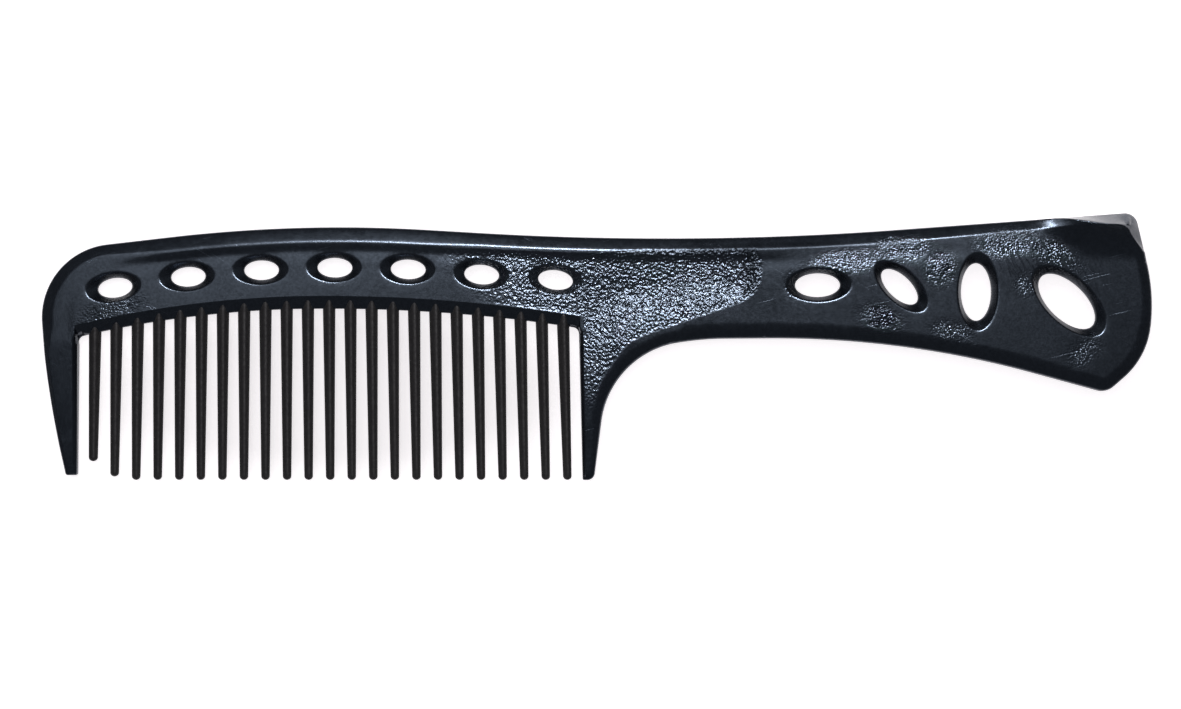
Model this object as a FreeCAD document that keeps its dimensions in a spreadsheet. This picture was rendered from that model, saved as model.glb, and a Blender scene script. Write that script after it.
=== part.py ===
import FreeCAD, Part
import math
import os
import Sketcher

# A wide-tooth comb with a broad paddle handle, moulded in one piece.
# +X runs from the rounded nose to the end of the handle, +Y towards the spine
# (the teeth point to -Y) and +Z out of the front face. The two faces mirror each
# other about z = 0, and the origin is the middle of the comb's box. Sizes in mm.

# ---- driving dimensions ------------------------------------------------------

SIZES = {
    "plate_half": 2.25,      # half the thickness of the head, neck and handle
    "edge_round": 1.2,       # rounding of the outer edges
    "lip_thick": 12.0,       # flared lip at the end of the handle
    "web_thick": 1.5,        # the plate's thin edge between the teeth
    "root_bevel": 2.5,       # height of the bevel from the web up to the plate
    "tooth_count": 23,
    "tooth_top_x": -101.87,  # middle of tooth 1 at the roots
    "tooth_top_pitch": 4.324,
    "tooth_top_y": 1.2,
    "tooth_low_x": -102.25,  # middle of tooth 1 near the tips
    "tooth_low_pitch": 4.373,
    "tooth_low_y": -24.2,
    "tooth_head_y": 9.6,     # the teeth run up into the comb back as far as this
    "tooth_head_half_wide": 1.32,
    "tooth_head_half_thick": 2.2,
    "tooth_head_half_crest": 0.6,  # flat ridge along each face of a tooth
    "tooth_tip_half_wide": 0.76,
    "tooth_tip_half_thick": 0.9,
    "tooth_tip_half_crest": 0.25,
    "last_tip_y": -27.1,     # the tips of the teeth, apart from the first two
    "first_tip_y": -23.3,
    "second_tip_y": -26.4,
    "lip_hollow_y": 21.0,    # where the hollow flanks of the lip turn outwards
    "lip_hollow_radius": 8.0,
    "lip_top_radius": 6.0,
    "flare_long": 2.0,       # how much wider a hole's mouth is than its waist
    "flare_short": 0.95,
    "waist_thick": 1.0,      # straight middle of a hole
    "dish_x": 14.5,          # thumb dish between the head and the handle
    "dish_y": 11.3,
    "dish_long": 16.5,
    "dish_short": 7.8,
    "dish_turn": 14.0,
    "dish_deep": 0.6,
    "guard_cut_y": 0.8,      # where the guards begin below the comb back
    "neck_cut_x": -2.4,      # where the neck begins
    "handle_cut_x": 34.0,
    "lip_cut_x": 90.0,
    "lip_cut_y": 17.0,
    "heel_far_x": 30.0,      # the heel guard ends short of this
    "guard_far_x": -100.0,   # and the front guard short of this
    "bevel_low_y": -4.0,     # the bevel's cutter reaches down to here, in the gaps
    "middle": 0.0,
    "outside": 150.0,        # clear of the comb on every side
}

# Corners of the plate's outline: x, y and the radius that rounds the corner.
# A radius of nought is a sharp corner.
OUTLINE = {
    "guard_tip": (-107.6, -26.1, 0),
    "guard": (-110.58, -12.9, 189),
    "nose": (-113.9, 18.95, 14.9),
    "crown": (-60.7, 25.15, 297),
    "valley": (18.6, 20.52, 640),
    "lip": (109.4, 27.2, 1.4),
    "butt_high": (112.9, 10.65, 41),
    "butt_low": (111.55, -2.2, 16),
    "butt_foot": (103.25, -9.41, 3.5),
    "handle_low": (62.0, 1.85, 200),
    "neck_low": (22.05, 1.56, 60.5),
    "heel": (2.72, -1.15, 18.6),
    "heel_tip": (-0.6, -27.1, 0),
    "heel_tip_in": (-2.85, -27.1, 0),
    "heel_root": (-3.62, 3.75, 1.4),
    "gap_right": (-31.2, 7.66, 325),
    "gap_left": (-79.5, 7.66, 215),
    "guard_root": (-105.2, 1.95, 1.4),
    "guard_tip_in": (-105.4, -26.1, 0),
}

# Holes through the plate: middle x and y, half length, half width, turn.
HOLES = {
    "spine_hole_1": (-97.76, 11.90, 3.55, 2.0, 8.0),
    "spine_hole_2": (-82.91, 14.13, 3.55, 2.0, 3.5),
    "spine_hole_3": (-68.05, 15.47, 3.55, 2.0, 0.7),
    "spine_hole_4": (-53.16, 15.98, 3.55, 2.0, -1.0),
    "spine_hole_5": (-38.28, 15.64, 3.55, 2.0, -2.4),
    "spine_hole_6": (-23.37, 14.58, 3.55, 2.0, -5.0),
    "spine_hole_7": (-8.39, 13.50, 3.55, 2.0, -7.6),
    "grip_hole_1": (44.80, 12.43, 4.59, 2.42, 0.6),
    "grip_hole_2": (61.45, 12.10, 4.69, 2.31, -43.3),
    "grip_hole_3": (76.98, 11.05, 5.85, 3.11, 90.0),
    "hang_hole": (95.40, 9.14, 7.21, 3.70, -43.3),
}

# Cross-sections of the lip: x, half thickness, y of the rim's two edges, y of the top.
LIP_SECTIONS = {
    "lip_start": (90.0, 2.4, 25.0, 25.4, 26.6),
    "lip_rise": (97.0, 3.9, 25.1, 25.7, 27.2),
    "lip_full": (104.0, 5.6, 24.7, 25.4, 27.6),
    "lip_end": (113.0, 6.0, 24.9, 25.6, 27.8),
}

doc = FreeCAD.newDocument("comb")
sheet = doc.addObject("Spreadsheet::Sheet", "dimensions")


def add_cell(row, alias, value):
    """One driving dimension: its name in column A, its value in column B."""
    sheet.set(f"A{row}", alias)
    sheet.set(f"B{row}", str(value))
    sheet.setAlias(f"B{row}", alias)


def fill_sheet():
    cells = dict(SIZES)
    for name, (x, y, radius) in OUTLINE.items():
        cells.update({f"{name}_x": x, f"{name}_y": y, f"{name}_radius": radius})
    for name, (x, y, length, width, turn) in HOLES.items():
        cells.update({f"{name}_x": x, f"{name}_y": y, f"{name}_long": length,
                      f"{name}_wide": width, f"{name}_turn": turn})
    for name, (x, half, rim, edge, top) in LIP_SECTIONS.items():
        cells.update({f"{name}_x": x, f"{name}_half": half, f"{name}_rim": rim,
                      f"{name}_edge": edge, f"{name}_top": top})
    for row, (alias, value) in enumerate(cells.items(), start=1):
        add_cell(row, alias, value)
    doc.recompute()


def size(alias):
    """The value of a cell; a leading minus sign turns it round."""
    if alias.startswith("-"):
        return -size(alias[1:])
    return float(sheet.get(alias))


def cell(*aliases):
    """The expression for a cell, or for the sum of several; a leading minus sign negates one."""
    signed = [f"-dimensions.{alias[1:]}" if alias.startswith("-") else f"dimensions.{alias}"
              for alias in aliases]
    return " + ".join(signed)


def bind(thing, **expressions):
    """Bind properties of an object to expressions on the sheet."""
    for name, expression in expressions.items():
        thing.setExpression(name, expression)


# ---- rounded outlines --------------------------------------------------------

class Corner:
    """One corner of an outline: a point named by its cells, and the radius that rounds it."""

    def __init__(self, name, x_cells=None, y_cells=None, rounded=True, radius_cell=None):
        self.x_cells = x_cells or (f"{name}_x",)
        self.y_cells = y_cells or (f"{name}_y",)
        self.radius_cell = radius_cell or f"{name}_radius"
        self.radius = size(self.radius_cell) if rounded else 0.0
        self.point = FreeCAD.Vector(sum(map(size, self.x_cells)), sum(map(size, self.y_cells)), 0)


def rounding(before, corner, after):
    """The arc that rounds a corner: its two ends, its middle point and which way it turns."""
    side_in = (before.point - corner.point).normalize()
    side_out = (after.point - corner.point).normalize()
    half_angle = side_in.getAngle(side_out) / 2
    reach = corner.radius / math.tan(half_angle)
    inward = (side_in + side_out).normalize()
    centre = corner.point + inward * (corner.radius / math.sin(half_angle))
    start = corner.point + side_in * reach
    end = corner.point + side_out * reach
    turns_left = side_in.cross(side_out).z < 0
    return start, end, centre, turns_left


def arc_geometry(centre, radius, first, last):
    """An arc that runs anticlockwise from the first point to the last."""
    start = math.atan2(first.y - centre.y, first.x - centre.x)
    end = math.atan2(last.y - centre.y, last.x - centre.x)
    if end < start:
        end += 2 * math.pi
    circle = Part.Circle(centre, FreeCAD.Vector(0, 0, 1), radius)
    return Part.ArcOfCircle(circle, start, end)


def constrain(sketch, kind, *places, value=None, cells=None):
    """Add a constraint, and bind its value to the sheet when it has one."""
    if value is None:
        sketch.addConstraint(Sketcher.Constraint(kind, *places))
        return
    index = sketch.addConstraint(Sketcher.Constraint(kind, *places, value))
    sketch.setExpression(f"Constraints[{index}]", cell(*cells))


def draw_outline(sketch, corners):
    """Draw a closed outline of straight sides joined by tangent arcs."""
    count = len(corners)
    marks = []
    for corner in corners:
        mark = sketch.addGeometry(Part.Point(corner.point), True)
        constrain(sketch, "DistanceX", mark, 1, value=corner.point.x, cells=corner.x_cells)
        constrain(sketch, "DistanceY", mark, 1, value=corner.point.y, cells=corner.y_cells)
        marks.append(mark)
    arcs = {}
    for index, corner in enumerate(corners):
        if corner.radius > 0:
            arcs[index] = rounding(corners[index - 1], corner, corners[(index + 1) % count])
    sides = []
    for index, corner in enumerate(corners):
        following = (index + 1) % count
        start = arcs[index][1] if index in arcs else corner.point
        end = arcs[following][0] if following in arcs else corners[following].point
        sides.append(sketch.addGeometry(Part.LineSegment(start, end), False))
    for index, corner in enumerate(corners):
        side_in, side_out = sides[index - 1], sides[index]
        if index not in arcs:
            constrain(sketch, "Coincident", side_in, 2, marks[index], 1)
            constrain(sketch, "Coincident", side_out, 1, marks[index], 1)
            continue
        start, end, centre, turns_left = arcs[index]
        first, last = (start, end) if turns_left else (end, start)
        arc = sketch.addGeometry(arc_geometry(centre, corner.radius, first, last), False)
        entry, leave = (1, 2) if turns_left else (2, 1)
        constrain(sketch, "PointOnObject", marks[index], 1, side_in)
        constrain(sketch, "PointOnObject", marks[index], 1, side_out)
        constrain(sketch, "Tangent", side_in, 2, arc, entry)
        constrain(sketch, "Tangent", arc, leave, side_out, 1)
        constrain(sketch, "Radius", arc, value=corner.radius, cells=(corner.radius_cell,))


# ---- helpers -----------------------------------------------------------------

def origin_plane(body, role):
    return next(item for item in body.Origin.OriginFeatures if item.Role == role)


def body_sketch(body, name, role="XY_Plane", offset=None):
    """A sketch on one of the body's own origin planes, moved along the plane's normal."""
    sketch = body.newObject("Sketcher::SketchObject", name)
    sketch.AttachmentSupport = [(origin_plane(body, role), "")]
    sketch.MapMode = "FlatFace"
    if offset:
        bind(sketch, **{"AttachmentOffset.Base.z": offset})
    return sketch


def loft_between(body, sketches, name):
    loft = body.newObject("PartDesign::AdditiveLoft", name)
    loft.Profile = sketches[0]
    loft.Sections = sketches[1:]
    loft.Ruled = True


def boolean(kind, name, first, second):
    """A Part::Cut or Part::Common of two objects."""
    result = doc.addObject(f"Part::{kind}", name)
    result.Base = first
    result.Tool = second
    return result


def union(name, shapes):
    result = doc.addObject("Part::MultiFuse", name)
    result.Shapes = shapes
    return result


def mirrored(name, source):
    """The same shape on the back face."""
    result = doc.addObject("Part::Mirroring", name)
    result.Source = source
    result.Normal = (0, 0, 1)
    return result


def region(name, low_x, high_x, low_y, high_y):
    """A block, through the whole thickness, that picks out one stretch of the comb."""
    box = doc.addObject("Part::Box", name)
    outside = cell("outside")
    bind(box, Length=f"{high_x} - ({low_x})", Width=f"{high_y} - ({low_y})", Height=f"2 * {outside}")
    bind(box, **{"Placement.Base.x": low_x, "Placement.Base.y": low_y,
                 "Placement.Base.z": f"-{outside}"})
    return box


# ---- the plate ---------------------------------------------------------------

def plate_body(name, thickness):
    """The outline of the whole comb without its teeth, padded both ways from the middle."""
    body = doc.addObject("PartDesign::Body", name)
    sketch = body_sketch(body, f"{name}_outline")
    draw_outline(sketch, [Corner(corner) for corner in OUTLINE])
    pad = body.newObject("PartDesign::Pad", f"{name}_pad")
    pad.Profile = sketch
    pad.Midplane = True
    bind(pad, Length=thickness)
    doc.recompute()
    return body


def round_outer_edges(body):
    """Round the two edges of the crown; the rounding follows on along the tangent outline."""
    base = body.Tip
    crown = FreeCAD.Vector(size("crown_x"), size("crown_y"), 0)
    edges = [(index, edge) for index, edge in enumerate(base.Shape.Edges, start=1)
             if abs(edge.CenterOfMass.z) > size("plate_half") / 2]
    edges.sort(key=lambda item: item[1].distToShape(Part.Vertex(crown))[0])
    fillet = body.newObject("PartDesign::Fillet", "edge_rounding")
    fillet.Base = (base, [f"Edge{index}" for index, edge in edges[:2]])
    bind(fillet, Radius=cell("edge_round"))
    doc.recompute()


# ---- holes, bevel and dish ---------------------------------------------------

def hole_cutter(name):
    """An elliptical hole with a straight waist that flares to a wider mouth on each face."""
    mouth_long = cell(f"{name}_long", "flare_long")
    mouth_wide = cell(f"{name}_wide", "flare_short")
    levels = [("back_mouth", mouth_long, mouth_wide, cell("-plate_half")),
              ("back_waist", cell(f"{name}_long"), cell(f"{name}_wide"),
               f"-{cell('waist_thick')} / 2"),
              ("front_waist", cell(f"{name}_long"), cell(f"{name}_wide"),
               f"{cell('waist_thick')} / 2"),
              ("front_mouth", mouth_long, mouth_wide, cell("plate_half"))]
    rings = []
    for level, length, width, height in levels:
        ring = doc.addObject("Part::Ellipse", f"{name}_{level}")
        bind(ring, MajorRadius=length, MinorRadius=width)
        bind(ring, **{"Placement.Base.x": cell(f"{name}_x"), "Placement.Base.y": cell(f"{name}_y"),
                      "Placement.Base.z": height, "Placement.Rotation.Angle": cell(f"{name}_turn")})
        rings.append(ring)
    cutter = doc.addObject("Part::Loft", f"{name}_cutter")
    cutter.Sections = rings
    cutter.Solid = True
    cutter.Ruled = True
    return cutter


def bevel_cutter():
    """The wedge between the teeth's roots that takes the plate down to its thin web."""
    body = doc.addObject("PartDesign::Body", "bevel_front")
    low = cell("web_thick") + " / 2"
    high = cell("plate_half")
    sketches = []
    for name, height, rise in (("bevel_low", low, ()), ("bevel_high", high, ("root_bevel",))):
        sketch = body_sketch(body, name, offset=height)
        corners = [
            Corner("guard_root", y_cells=("bevel_low_y",), rounded=False),
            Corner("guard_root", y_cells=("guard_root_y",) + rise, rounded=False),
            Corner("gap_left", y_cells=("gap_left_y",) + rise),
            Corner("gap_right", y_cells=("gap_right_y",) + rise),
            Corner("heel_root", y_cells=("heel_root_y",) + rise, rounded=False),
            Corner("heel_root", y_cells=("bevel_low_y",), rounded=False),
        ]
        draw_outline(sketch, corners)
        sketches.append(sketch)
    loft_between(body, sketches, "bevel_loft")
    return union("root_bevels", [body, mirrored("bevel_back", body)])


def dish_cutter():
    """The shallow dish for the thumb, one on each face."""
    dish = doc.addObject("Part::Ellipsoid", "dish_front")
    bind(dish, Radius1=cell("dish_deep"), Radius2=cell("dish_long"), Radius3=cell("dish_short"))
    bind(dish, **{"Placement.Base.x": cell("dish_x"), "Placement.Base.y": cell("dish_y"),
                  "Placement.Base.z": cell("plate_half"),
                  "Placement.Rotation.Angle": cell("dish_turn")})
    return union("thumb_dishes", [dish, mirrored("dish_back", dish)])


# ---- the lip -----------------------------------------------------------------

def lip_section(body, name):
    """A cross-section of the lip: hollow flanks, an upright rim and a domed top.

    The sketch lies across the handle, with its own x along +Y and its own y along +Z.
    """
    sketch = body_sketch(body, name, role="YZ_Plane", offset=cell(f"{name}_x"))
    front = [
        ("lip_cut_y", "plate_half", None),
        ("lip_hollow_y", "plate_half", "lip_hollow_radius"),
        (f"{name}_rim", f"{name}_half", None),
        (f"{name}_edge", f"{name}_half", None),
    ]
    corners = [Corner(name, (y,), (z,), bool(radius), radius) for y, z, radius in front]
    corners.append(Corner(name, (f"{name}_top",), ("middle",), True, "lip_top_radius"))
    corners += [Corner(name, (y,), (f"-{z}",), bool(radius), radius)
                for y, z, radius in reversed(front)]
    draw_outline(sketch, corners)
    return sketch


def lip_body():
    """The lip before it is trimmed to the comb's outline."""
    body = doc.addObject("PartDesign::Body", "lip_form")
    sketches = [lip_section(body, name) for name in LIP_SECTIONS]
    loft_between(body, sketches, "lip_loft")
    return body


# ---- the teeth ---------------------------------------------------------------

def tooth_section(body, number, end, offset):
    """A six-sided cross-section: a flat ridge on each face and a corner on each side."""
    sketch = body_sketch(body, f"tooth_{number:02d}_{end}", role="XZ_Plane", offset=offset)
    wide, thick, crest = (f"tooth_{end}_half_{part}" for part in ("wide", "thick", "crest"))
    corners = [
        Corner(end, (crest,), (thick,), False),
        Corner(end, (wide,), ("middle",), False),
        Corner(end, (crest,), (f"-{thick}",), False),
        Corner(end, (f"-{crest}",), (f"-{thick}",), False),
        Corner(end, (f"-{wide}",), ("middle",), False),
        Corner(end, (f"-{crest}",), (thick,), False),
    ]
    draw_outline(sketch, corners)
    return sketch


def tooth_body(number):
    """One whole tooth, from inside the comb back to its tip.

    The teeth fan out a little, so each leans by the difference of the two pitches.
    """
    body = doc.addObject("PartDesign::Body", f"whole_tooth_{number:02d}")
    tip = {1: "first_tip_y", 2: "second_tip_y"}.get(number, "last_tip_y")
    head_offset = f"{cell('tooth_top_y')} - {cell('tooth_head_y')}"
    tip_offset = f"{cell('tooth_top_y')} - {cell(tip)}"
    sketches = [tooth_section(body, number, "head", head_offset),
                tooth_section(body, number, "tip", tip_offset)]
    loft_between(body, sketches, f"tooth_{number:02d}_loft")
    steps = number - 1
    top_x = f"{cell('tooth_top_x')} + {steps} * {cell('tooth_top_pitch')}"
    low_x = f"{cell('tooth_low_x')} + {steps} * {cell('tooth_low_pitch')}"
    fall = f"({cell('tooth_top_y')} - {cell('tooth_low_y')})"
    bind(body, **{"Placement.Base.x": top_x, "Placement.Base.y": cell("tooth_top_y"),
                  "Placement.Rotation.Angle": f"atan((({low_x}) - ({top_x})) / {fall})"})
    return body


# ---- the sub-parts -----------------------------------------------------------

def label(thing, name):
    thing.Label = name
    return thing


def front_guard(plate):
    zone = region("guard_zone", cell("-outside"), cell("guard_far_x"),
                  cell("-outside"), cell("guard_cut_y"))
    return label(boolean("Common", "front_guard_shape", plate, zone), "front_guard")


def heel_guard(plate):
    zone = region("heel_zone", cell("guard_far_x"), cell("heel_far_x"),
                  cell("-outside"), cell("guard_cut_y"))
    return label(boolean("Common", "heel_guard_shape", plate, zone), "heel_guard")


def comb_back(plate, bevels, stubs):
    zone = region("back_zone", cell("-outside"), cell("neck_cut_x"),
                  cell("guard_cut_y"), cell("outside"))
    flat = boolean("Common", "back_plate", plate, zone)
    bevelled = boolean("Cut", "back_bevelled", flat, bevels)
    rooted = union("back_rooted", [bevelled] + stubs)
    cutters = union("spine_cutters", [hole_cutter(name) for name in HOLES if "spine" in name])
    return label(boolean("Cut", "comb_back_shape", rooted, cutters), "comb_back")


def thumb_rest(plate):
    zone = region("neck_zone", cell("neck_cut_x"), cell("handle_cut_x"),
                  cell("guard_cut_y"), cell("outside"))
    neck = boolean("Common", "neck_plate", plate, zone)
    return label(boolean("Cut", "thumb_rest_shape", neck, dish_cutter()), "thumb_rest")


def handle(plate, lip_zone):
    zone = region("handle_zone", cell("handle_cut_x"), cell("outside"),
                  cell("-outside"), cell("outside"))
    grip = boolean("Common", "grip_plate", plate, zone)
    trimmed = boolean("Cut", "grip_trimmed", grip, lip_zone)
    cutters = union("grip_cutters", [hole_cutter(name) for name in HOLES if "spine" not in name])
    return label(boolean("Cut", "handle_shape", trimmed, cutters), "handle")


def handle_lip(prism):
    return label(boolean("Common", "handle_lip_shape", lip_body(), prism), "handle_lip")


def build():
    """Make every sub-part and return them, each with the label that names its file."""
    plate = plate_body("plate", cell("plate_half") + " * 2")
    round_outer_edges(plate)
    prism = plate_body("outline_prism", cell("lip_thick"))
    lip_zone = region("lip_zone", cell("lip_cut_x"), cell("outside"),
                      cell("lip_cut_y"), cell("outside"))
    teeth = []
    stubs = []
    for number in range(1, int(size("tooth_count")) + 1):
        whole = tooth_body(number)
        tooth = boolean("Cut", f"tooth_{number:02d}_shape", whole, prism)
        teeth.append(label(tooth, f"tooth_{number:02d}"))
        stubs.append(boolean("Common", f"tooth_{number:02d}_stub", whole, prism))
    return [comb_back(plate, bevel_cutter(), stubs), front_guard(plate), heel_guard(plate),
            thumb_rest(plate), handle(plate, lip_zone), handle_lip(prism)] + teeth


def check_and_export(parts):
    """Stop on any failed object or bad shape, then write each sub-part to its own file."""
    for thing in doc.Objects:
        if "Invalid" in thing.State or "Error" in thing.State:
            raise RuntimeError(f"{thing.Name} failed: {thing.State}")
    for part in parts:
        if part.Shape.isNull() or not part.Shape.isValid() or not part.Shape.Solids:
            raise RuntimeError(f"{part.Label} has no valid solid")
    os.makedirs("parts", exist_ok=True)
    for part in parts:
        part.Shape.exportStep(f"parts/{part.Label}.step")
        box = part.Shape.optimalBoundingBox()
        print(f"{part.Label}: {len(part.Shape.Solids)} solid, {part.Shape.Volume:.1f} mm3, "
              f"x {box.XMin:.2f}..{box.XMax:.2f} y {box.YMin:.2f}..{box.YMax:.2f} "
              f"z {box.ZMin:.2f}..{box.ZMax:.2f}")


fill_sheet()
sub_parts = build()
doc.recompute()
check_and_export(sub_parts)
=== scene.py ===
import math

import bpy
import numpy as np
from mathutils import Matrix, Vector, kdtree, noise
from mathutils.geometry import delaunay_2d_cdt


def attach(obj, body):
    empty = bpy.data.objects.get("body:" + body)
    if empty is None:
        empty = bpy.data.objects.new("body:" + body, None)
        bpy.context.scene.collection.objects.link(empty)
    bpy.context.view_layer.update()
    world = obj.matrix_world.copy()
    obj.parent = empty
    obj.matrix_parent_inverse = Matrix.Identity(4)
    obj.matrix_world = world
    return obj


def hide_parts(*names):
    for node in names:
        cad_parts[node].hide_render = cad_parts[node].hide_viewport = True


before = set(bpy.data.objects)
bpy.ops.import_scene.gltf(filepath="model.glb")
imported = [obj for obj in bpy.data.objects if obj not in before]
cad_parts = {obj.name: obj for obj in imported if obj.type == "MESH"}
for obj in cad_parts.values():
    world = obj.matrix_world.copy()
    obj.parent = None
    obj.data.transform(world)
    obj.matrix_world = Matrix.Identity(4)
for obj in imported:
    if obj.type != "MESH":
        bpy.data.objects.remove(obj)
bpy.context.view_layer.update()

# The comb's plate is one smooth height field over its outline, mirrored to the back
# face and closed by a side wall, then shared out between the CAD nodes. The teeth are
# lofts. Sizes are in millimetres, in the frame of the CAD, and MM turns them to metres.

MM = 0.001

# ---- the comb's own sizes ----------------------------------------------------

HALF = 2.25              # half the thickness of the plate
LIP_HALF = 5.85          # and of the lip
EDGE_HALF = 0.9          # height of the side walls above the parting line
WEB_HALF = 0.75          # thin edge between the teeth
LEAST_HALF = 0.3
FACET_WIDE = 2.38        # the lip's outer facet, where it is widest along the top
FACET_END = 3.2          # and round the end of the handle
ROOT_BEVEL = 2.5         # height of the bevel above the web
GUARD_TAPER = 0.95       # how much thinner the guards are at their tips
GUARD_LONG = 27.0
BEAD_HIGH = 0.34         # the bead along the spine, above the panel with the holes
PANEL_RISE = 0.06
HANDLE_FALL = 0.22       # how much the handle's face falls towards its upper edge
GUARD_CUT_Y = 0.8
NECK_CUT_X = -2.4
HANDLE_CUT_X = 34.0
LIP_CUT_X, LIP_CUT_Y = 90.0, 17.0
HEEL_END_X, FRONT_END_X = 30.0, -100.0      # the two guards lie on this side of these
POCKET_LEFT, POCKET_RIGHT = -105.6, -3.2    # sides of the pocket that holds the teeth
POCKET_WALL = 0.35       # width of the slope from the face down to the web, at those sides
WALL_LEFT, WALL_RIGHT = -105.1, -3.75       # where the web begins beside that slope
FLANK_LEFT = -105.3
CREST_X, CREST_Y = -55.2, 7.66              # where the two arcs of the web's edge meet

# Corners of the outline, clockwise: x, y, radius, and the width and depth of the
# rounding along the edge there.
OUTLINE = {
    "guard_tip": (-107.6, -26.1, 0.5, 0.8, 0.6),
    "guard": (-110.58, -12.9, 189, 0.9, 0.7),
    "nose": (-113.9, 18.95, 14.9, 2.3, 1.35),
    "crown": (-60.7, 25.15, 297, 2.9, 1.5),
    "valley": (18.6, 20.52, 640, 2.5, 1.4),
    "lip": (109.05, 27.15, 2.6, 1.6, 1.35),
    "butt_high": (112.9, 10.65, 38, 2.6, 1.35),
    "butt_low": (111.55, -2.2, 16, 3.0, 1.4),
    "butt_foot": (103.25, -9.41, 3.5, 3.0, 1.4),
    "handle_low": (62.0, 1.85, 200, 3.4, 1.4),
    "neck_low": (22.05, 1.56, 60.5, 3.4, 1.4),
    "heel": (2.72, -1.15, 18.6, 2.6, 1.4),
    "heel_tip": (-0.6, -27.1, 1.5, 1.2, 0.7),
    "heel_tip_in": (-2.85, -27.1, 0.3, 0.7, 0.9),
    "heel_root": (-3.62, 3.75, 1.4, 0.8, 1.5),
    "gap_right": (-31.2, 7.66, 325, 0.2, 0.15),
    "gap_left": (-79.5, 7.66, 215, 0.2, 0.15),
    "guard_root": (-105.2, 1.95, 1.4, 0.8, 1.5),
    "guard_tip_in": (-105.4, -26.1, 0.4, 0.7, 0.9),
}

# Elliptical holes: middle x and y, half length, half width, turn in degrees.
HOLES = {
    "spine_hole_1": (-97.76, 11.90, 3.55, 2.0, 8.0),
    "spine_hole_2": (-82.91, 14.13, 3.55, 2.0, 3.5),
    "spine_hole_3": (-68.05, 15.47, 3.55, 2.0, 0.7),
    "spine_hole_4": (-53.16, 15.98, 3.55, 2.0, -1.0),
    "spine_hole_5": (-38.28, 15.64, 3.55, 2.0, -2.4),
    "spine_hole_6": (-23.37, 14.58, 3.55, 2.0, -5.0),
    "spine_hole_7": (-8.39, 13.50, 3.55, 2.0, -7.6),
    "grip_hole_1": (44.80, 12.43, 4.59, 2.42, 0.6),
    "grip_hole_2": (61.45, 12.10, 4.69, 2.31, -43.3),
    "grip_hole_3": (76.98, 11.05, 5.85, 3.11, 90.0),
    "hang_hole": (95.40, 9.14, 7.21, 3.70, -43.3),
}
FLARE_LONG, FLARE_SHORT = 2.0, 0.95   # how much wider a hole's mouth is than its waist
WAIST_HALF = 0.45

# Right and lower border of the thumb dish: x, y, radius.
DISH_BORDER = {
    "dish_top": (31.0, 23.5, 0),
    "dish_end": (34.6, 11.2, 6.5),
    "dish_low": (6.5, 1.6, 9.0),
    "dish_heel": (0.9, -6.0, 12.0),
    "dish_foot": (-1.7, -15.0, 0),
}
DISH_DEEP = 0.85
PEBBLE_WIDE, PEBBLE_HIGH = 0.50, 0.135
PEBBLE_SEED = 1

# ---- outlines of straight sides and arcs -------------------------------------


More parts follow.
